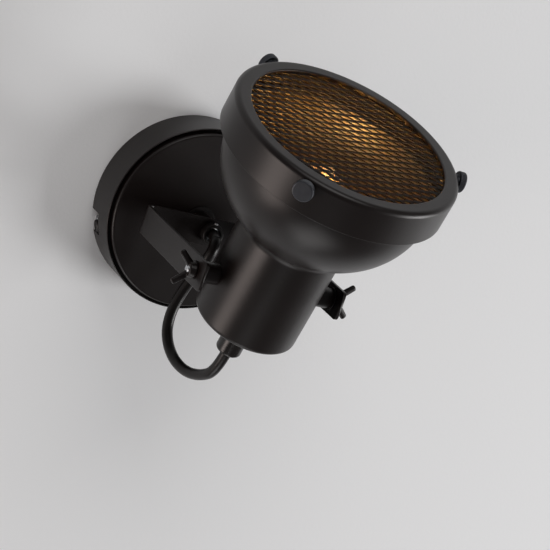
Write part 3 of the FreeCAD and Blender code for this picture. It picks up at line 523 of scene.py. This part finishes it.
def grille_points():
    """Two strands for each diamond, from its right tip to its top and from its left tip to its top.
    A strand is a bar whose section is turned about its own line, widest at the tips' knuckles."""
    rows = int(2 * MESH_RADIUS / SHORT_WAY) + 4
    columns = int(MESH_RADIUS / LONG_WAY) + 3
    j, i = np.meshgrid(np.arange(-rows, rows + 1), np.arange(-columns, columns + 1), indexing="ij")
    centre = np.stack([LONG_WAY * (i + 0.5 * (j % 2)), SHORT_WAY * j / 2], -1).reshape(-1, 2)
    share = np.array([-0.04, 0.16, 0.5, 0.84, 1.04])
    ease = share + 0.10 * np.sin(2 * math.pi * share)
    line_x, line_y = LONG_WAY / 2 * (1 - share), SHORT_WAY / 2 * ease
    width = STRAND_WIDTH * KNUCKLE
    corner = np.array([[-0.5, -0.42], [0.5, -0.42], [0.5, 0.42], [-0.5, 0.42]])
    made = []
    for side in (1, -1):
        span = np.array([side * -LONG_WAY, SHORT_WAY])
        span = span / np.linalg.norm(span)
        over = np.array([-span[1], span[0]]) * side
        across = corner[:, 0][None] * width[:, None]
        deep = corner[:, 1][None] * STRAND_DEPTH
        flat = across * math.cos(STRAND_TILT) - deep * math.sin(STRAND_TILT)
        lift = across * math.sin(STRAND_TILT) + deep * math.cos(STRAND_TILT)
        x = side * line_x[:, None] + over[0] * flat
        y = line_y[:, None] + over[1] * flat
        made.append(np.stack([x, y, lift], -1))
    bars = np.stack(made)
    grid = np.broadcast_to(bars[None], (len(centre), *bars.shape)).copy()
    grid[..., 0] += centre[:, 0][:, None, None, None]
    grid[..., 1] += centre[:, 1][:, None, None, None]
    c, s = math.cos(MESH_TURN), math.sin(MESH_TURN)
    x, y = c * grid[..., 0] - s * grid[..., 1], s * grid[..., 0] + c * grid[..., 1]
    grid = np.stack([x, y, grid[..., 2] + MESH_HEIGHT], -1).reshape(-1, 5, 4, 3)
    keep = np.hypot(grid[..., 0], grid[..., 1]).max((1, 2)) < MESH_RADIUS
    return grid[keep]


def grille_mesh():
    """Each bar of 5 by 4 points gets side quads all round and a quad at each end."""
    grid = grille_points()
    count = len(grid)
    index = np.arange(20).reshape(5, 4)
    wrap = np.hstack([index, index[:, :1]])
    quads = np.stack([wrap[:-1, :-1], wrap[1:, :-1], wrap[1:, 1:], wrap[:-1, 1:]], -1).reshape(-1, 4)
    quads = np.vstack([quads, index[:1, ::-1], index[-1:]])
    faces = (quads[None] + 20 * np.arange(count)[:, None, None]).reshape(-1, 4)
    points = PIVOT + grid.reshape(-1, 3) @ SHADE_AXES
    mesh = bpy.data.meshes.new("grille")
    mesh.from_pydata((points * MM).tolist(), [], faces.tolist())
    made = bmesh.new()
    made.from_mesh(mesh)
    bmesh.ops.recalc_face_normals(made, faces=made.faces)
    made.to_mesh(mesh)
    made.free()
    piece = bpy.data.objects.new("grille", mesh)
    bpy.context.scene.collection.objects.link(piece)
    return piece


dress(grille_mesh(), powder_coat("matt_black_mesh_paint", ("#080706", "#0d0b0a"), 0.6, 0.5, 0.2),
      "head", "black_mesh", "mesh_grille")

# ---------------------------------------------------------------- thumb screws
# Three turned steel screws with flat, finely ribbed heads hold the bezel. They are blackened, so they
# look cooler than the paint. Each lies on a line square to the shade's axis.

black_oxide = plated_metal("black_oxide_steel", ("#4a4c50", "#3b3d41"), 0.4)
THUMB_ANGLES = {"left": -128.0, "right": -8.0, "rear": 112.0}
THUMB_HEIGHT, THUMB_FOOT = 105.6, 71.15
HEAD_RADIUS, HEAD_FOOT, HEAD_TOP, RIBS, RIB_SHARE = 6.2, 2.8, 6.8, 40, 0.022


def thumb_screw(name, degrees):
    """A spun head, collar and shank about a line out of the rim, with fine straight ribs round the
    head: r shrinks by RIB_SHARE times the positive part of cos RIBS a."""
    a = math.radians(degrees)
    outwards = math.cos(a) * ACROSS + math.sin(a) * SIDEWAYS
    around = -math.sin(a) * ACROSS + math.cos(a) * SIDEWAYS
    origin = PIVOT + THUMB_HEIGHT * ALONG + THUMB_FOOT * outwards
    outline = rounded([
        (0, -10.0, 0), (1.9, -10.0, 0.5), (1.9, 0.0, 0.05), (4.0, 0.0, 0.2), (4.0, HEAD_FOOT, 0.3),
        (HEAD_RADIUS, HEAD_FOOT, 0.5), (HEAD_RADIUS, HEAD_TOP, 0.8), (0, HEAD_TOP, 0)], 5, 0.2)
    grid = spun(outline, np.zeros(3), np.eye(3), 240)
    angle = np.linspace(0, 2 * math.pi, 240, endpoint=False)[:, None]
    on_head = (outline[:, 0] > HEAD_RADIUS - 0.3) & (outline[:, 1] > HEAD_FOOT + 0.1)
    rib = 1 - RIB_SHARE * np.clip(np.cos(RIBS * angle), 0, 1) * on_head[None]
    grid[..., :2] *= rib[..., None]
    axes = np.array([around, np.cross(outwards, around), outwards])
    return shell(name, origin + grid @ axes)


for side, degrees in THUMB_ANGLES.items():
    dress(thumb_screw("knurled_screw_" + side, degrees), black_oxide, "thumb_screw_" + side, "black_paint",
          "thumb_screw_" + side)

# ---------------------------------------------------------------- tilt pivots and wing nuts
# On each side a screw from inside the neck passes a spacer, a washer and the arm, and a cast wing nut
# clamps it. The screw's bare zinc end shows in the nut's middle.

SPACER_END, WASHER_END, NUT_SEAT = 44.55, 45.35, 47.65  # along the tilt axis, from the pivot


def spacer_points(side):
    """A short rod between the round neck and the washer: its foot follows x = sqrt(R^2 - y^2)."""
    angle = np.linspace(0, 2 * math.pi, 96, endpoint=False)[:, None]
    outline = rounded([(0, 0, 0), (6.4, 0, 0.2), (6.4, 1, 0.4), (0, 1, 0)], 4, 0.2)
    r, share = outline[:, 0][None], outline[:, 1][None]
    y, z = r * np.cos(angle), r * np.sin(angle)
    foot = np.sqrt(NECK_RADIUS ** 2 - y ** 2) - 0.05
    x = foot + (SPACER_END - foot) * share
    return PIVOT + np.stack([side * x, y, z], -1) @ SHADE_AXES


def nut_wing(up):
    """A cast wing: a rounded section carried up and outwards, closed round its end."""
    t = np.linspace(0, 1, 25)
    root, tip = np.array([2.0, 1.6]), np.array([11.6, 10.2])
    path = root + (tip - root) * t[:, None]
    lean = (tip - root) / np.linalg.norm(tip - root)
    across = np.array([lean[1], -lean[0]])
    end = np.clip(1 - np.clip((t - 0.84) / 0.16, 0, 1) ** 4, 0, 1) ** 0.5
    half_wide, half_thick = (2.3 - 0.3 * t) * end, (1.55 - 0.4 * t) * np.sqrt(end)
    angle = np.linspace(0, 2 * math.pi, 24, endpoint=False)
    wide = half_wide[:, None] * np.sign(np.cos(angle)) * np.abs(np.cos(angle)) ** 0.8
    thick = half_thick[:, None] * np.sign(np.sin(angle)) * np.abs(np.sin(angle)) ** 0.8
    x = path[:, 0][:, None] + across[0] * wide
    z = path[:, 1][:, None] + across[1] * wide
    return np.stack([x, thick, up * z], -1)


def wing_nut(name, side):
    """Hub and two wings run together by a fine remesh and smoothed, as a casting's fillets are."""
    axes = np.array([side * ACROSS, -side * OUT, UPRIGHT])
    origin = PIVOT + NUT_SEAT * side * ACROSS
    hub = rounded([(0, 0, 0), (5.6, 0, 0.5), (5.5, 1.1, 0.5), (4.6, 4.4, 0.7), (0, 4.4, 0)], 5, 0.2)
    turned = spun(hub, np.zeros(3), np.array([[0, 1, 0], [0, 0, 1], [1, 0, 0]]), 72)
    parts = [shell(name + "_hub", turned)]
    parts += [shell(f"{name}_wing_{k}", nut_wing(up), False, True) for k, up in enumerate((1, -1))]
    joined = bmesh.new()
    for part in parts:
        joined.from_mesh(part.data)
        bpy.data.objects.remove(part)
    bmesh.ops.holes_fill(joined, edges=joined.edges, sides=0)
    mesh = bpy.data.meshes.new(name)
    joined.to_mesh(mesh)
    joined.free()
    piece = bpy.data.objects.new(name, mesh)
    bpy.context.scene.collection.objects.link(piece)
    cast = piece.modifiers.new("cast", "REMESH")
    cast.mode, cast.voxel_size, cast.use_smooth_shade = "VOXEL", 0.00028, True
    soften = piece.modifiers.new("soften", "SMOOTH")
    soften.factor, soften.iterations = 0.5, 8
    shaped = bpy.data.meshes.new_from_object(piece.evaluated_get(bpy.context.evaluated_depsgraph_get()))
    piece.modifiers.clear()
    piece.data = shaped
    points = np.zeros(len(shaped.vertices) * 3)
    shaped.vertices.foreach_get("co", points)
    placed = origin * MM + points.reshape(-1, 3) @ axes
    shaped.vertices.foreach_set("co", placed.ravel())
    turned_out = bmesh.new()
    turned_out.from_mesh(shaped)
    bmesh.ops.recalc_face_normals(turned_out, faces=turned_out.faces)
    turned_out.to_mesh(shaped)
    turned_out.free()
    shaped.shade_smooth()
    return piece


def pivot_end(name, side):
    """The screw from its head inside the neck to its chamfered end, spun about the tilt axis."""
    outline = rounded([(0, 27.5, 0), (4.5, 27.5, 0.6), (4.5, 31.2, 0.4), (2.5, 31.2, 0.05), (2.5, 52.6, 0.6),
                       (0, 52.6, 0)], 5, 0.2)
    axes = np.array([SIDEWAYS, side * ALONG, side * ACROSS])
    return shell(name, spun(outline, PIVOT, axes, 64))


for side, sign in (("left", -1.0), ("right", 1.0)):
    dress(shell("spacer_" + side, spacer_points(sign)),
          satin_black, "head", "black_paint", "pivot_spacer_" + side)
    axes = np.array([SIDEWAYS, sign * ALONG, sign * ACROSS])
    dress(ring("washer_" + side, 2.55, 7.2, SPACER_END, WASHER_END, 0.15, PIVOT, axes, 80),
          black_nylon, "head", "black_nylon", "pivot_washer_" + side)
    dress(wing_nut("cast_wing_nut_" + side, sign), satin_black, "wing_nut_" + side, "black_paint",
          "wing_nut_" + side)
    dress(pivot_end("tilt_screw_" + side, sign), bright_zinc, "head", "zinc_steel", "pivot_screw_" + side)

# ---------------------------------------------------------------- neck gland
# A moulded nylon gland under the neck: a flange on the steel and a barrel with a rounded end that the
# cord comes out of.

neck_outline = rounded([(0, -28.0, 0), (10.0, -28.0, 0.2), (10.0, -31.0, 1.0), (8.0, -31.0, 0.4),
                        (8.0, -52.0, 1.9), (3.5, -52.0, 0.5), (3.2, -47.0, 0.2), (0, -47.0, 0)], 8, 0.25)
dress(shell("neck_gland_body", spun(neck_outline, PIVOT, SHADE_AXES, 96)),
      moulding("glossy_black_nylon", ("#151211", "#1a1716"), 0.24), "head", "black_nylon", "neck_gland")

# ---------------------------------------------------------------- lamp holder and lamp
# A moulded holder on the neck's stem, with a brass screw shell. In it a 45 mm clear globe with a
# nickel-plated screw cap and four glowing filaments.

paint_nodes(moulding("black_phenolic", ("#191817", "#201e1d"), 0.4), "lamp_holder")
paint_nodes(plated_metal("drawn_brass", ("#c9a659", "#b4914a"), 0.35), "holder_screw_shell", "holder_contact")
paint_nodes(plated_metal("nickel_plate", ("#c8c2b4", "#b9b2a2"), 0.25), "lamp_cap")


def clear_glass():
    """Thin clear lamp glass with a faint warm tint. Lamp light passes it without noise."""
    made, tree, out = material("clear_lamp_glass")
    place = add(tree, "ShaderNodeTexCoord").outputs["Object"]
    flow = add(tree, "ShaderNodeTexNoise", {"Vector": place, "Scale": 60.0, "Detail": 1.0})
    bump = add(tree, "ShaderNodeBump", {"Height": flow.outputs["Fac"], "Strength": 0.05, "Distance": 0.0005})
    glass = add(tree, "ShaderNodeBsdfPrincipled", {
        "Base Color": linear("#fffdf9"), "Roughness": 0.03, "IOR": 1.45, "Transmission Weight": 1.0,
        "Normal": bump.outputs["Normal"]})
    clear = add(tree, "ShaderNodeBsdfTransparent", {"Color": linear("#fffdf8")})
    shadow = add(tree, "ShaderNodeLightPath").outputs["Is Shadow Ray"]
    mixed = add(tree, "ShaderNodeMixShader", {0: shadow, 1: glass.outputs[0], 2: clear.outputs[0]})
    tree.links.new(mixed.outputs[0], out.inputs["Surface"])
    return made


def glowing_filament():
    """Phosphor-coated filament sticks, lit: warm white, far past white in the picture."""
    made, tree, out = material("glowing_filament")
    place = add(tree, "ShaderNodeTexCoord").outputs["Object"]
    spots = add(tree, "ShaderNodeTexNoise", {"Vector": place, "Scale": 900.0})
    heat = add(tree, "ShaderNodeMapRange", {"Value": spots.outputs["Fac"], "To Min": 900.0, "To Max": 1300.0})
    glow = add(tree, "ShaderNodeEmission", {"Color": linear("#ffdc9a"), "Strength": heat.outputs[0]})
    tree.links.new(glow.outputs[0], out.inputs["Surface"])
    return made


paint_nodes(clear_glass(), "lamp_glass")
paint_nodes(glowing_filament(), "lamp_filament")

BULB_HEIGHT, BULB_WATTS = 52.0, 0.95
bulb = bpy.data.objects.new("bulb_light", bpy.data.lights.new("bulb_light", "POINT"))
bpy.context.scene.collection.objects.link(bulb)
bulb.data.energy = BULB_WATTS
bulb.data.color = linear("#ffb152")[:3]
bulb.data.shadow_soft_size = 0.011
bulb.location = Vector(((PIVOT + BULB_HEIGHT * ALONG) * MM).tolist())
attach(bulb, "head")

# ---------------------------------------------------------------- cord
# Round flex, 3 by 0.75 square mm in a satin PVC sheath 6.9 mm across, from the base gland in a loop
# behind the left arm and up into the neck gland.

CORD_POINTS = np.array([
    (0.000, -51.500, 0.000), (0.000, -58.000, 0.000), (-2.912, -63.200, -4.238), (-6.993, -62.500, -11.241),
    (-12.802, -58.500, -20.793), (-21.087, -56.000, -32.609), (-29.263, -55.800, -45.538),
    (-34.280, -59.500, -58.608), (-35.063, -71.000, -69.019), (-32.691, -87.000, -72.607),
    (-28.278, -102.500, -69.481), (-23.583, -115.951, -61.436), (-17.773, -121.063, -46.299)]) * MM
CORD_RADIUS, CORD_SIDES = 0.00345, 32
CORD_ASIDE = np.array([0.36, 0.85, 0.4])  # no part of the cord runs along this


def cord_line():
    """The smooth line of the cord: a quadratic NURBS with the route's points as its controls."""
    curve = bpy.data.curves.new("cord_route", "CURVE")
    curve.dimensions = "3D"
    spline = curve.splines.new("NURBS")
    spline.points.add(len(CORD_POINTS) - 1)
    spline.points.foreach_set("co", np.hstack([CORD_POINTS, np.ones((len(CORD_POINTS), 1))]).ravel())
    spline.order_u = 3
    spline.use_endpoint_u = True
    spline.resolution_u = 12
    holder = bpy.data.objects.new("cord_route", curve)
    bpy.context.scene.collection.objects.link(holder)
    bpy.context.view_layer.update()
    mesh = bpy.data.meshes.new_from_object(holder)
    points = np.zeros(len(mesh.vertices) * 3)
    mesh.vertices.foreach_get("co", points)
    bpy.data.objects.remove(holder)
    return points.reshape(-1, 3)


def cord_points(line):
    """A circle carried along the line, its ends closed, and the line's length."""
    along = np.gradient(line, axis=0)
    along /= np.linalg.norm(along, axis=1)[:, None]
    steps = np.linalg.norm(np.diff(line, axis=0), axis=1)
    first = np.cross(along, CORD_ASIDE)
    first /= np.linalg.norm(first, axis=1)[:, None]
    second = np.cross(along, first)
    angle = np.linspace(0, 2 * math.pi, CORD_SIDES, endpoint=False)[None, :, None]
    tube = line[:, None] + CORD_RADIUS * (np.cos(angle) * first[:, None] + np.sin(angle) * second[:, None])
    ends = np.broadcast_to(line[[0, -1]][:, None], (2, CORD_SIDES, 3))
    return np.concatenate([ends[:1], tube, ends[1:]]), steps.sum()


line = cord_line()
tube, cord_length = cord_points(line)
cord = shell("flex", tube / MM, False, True)
cord.data.materials.append(moulding("satin_pvc_sheath", ("#0f0c0b", "#151110"), 0.32, 0.08, 0.26))
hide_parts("cord")
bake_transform(cord)
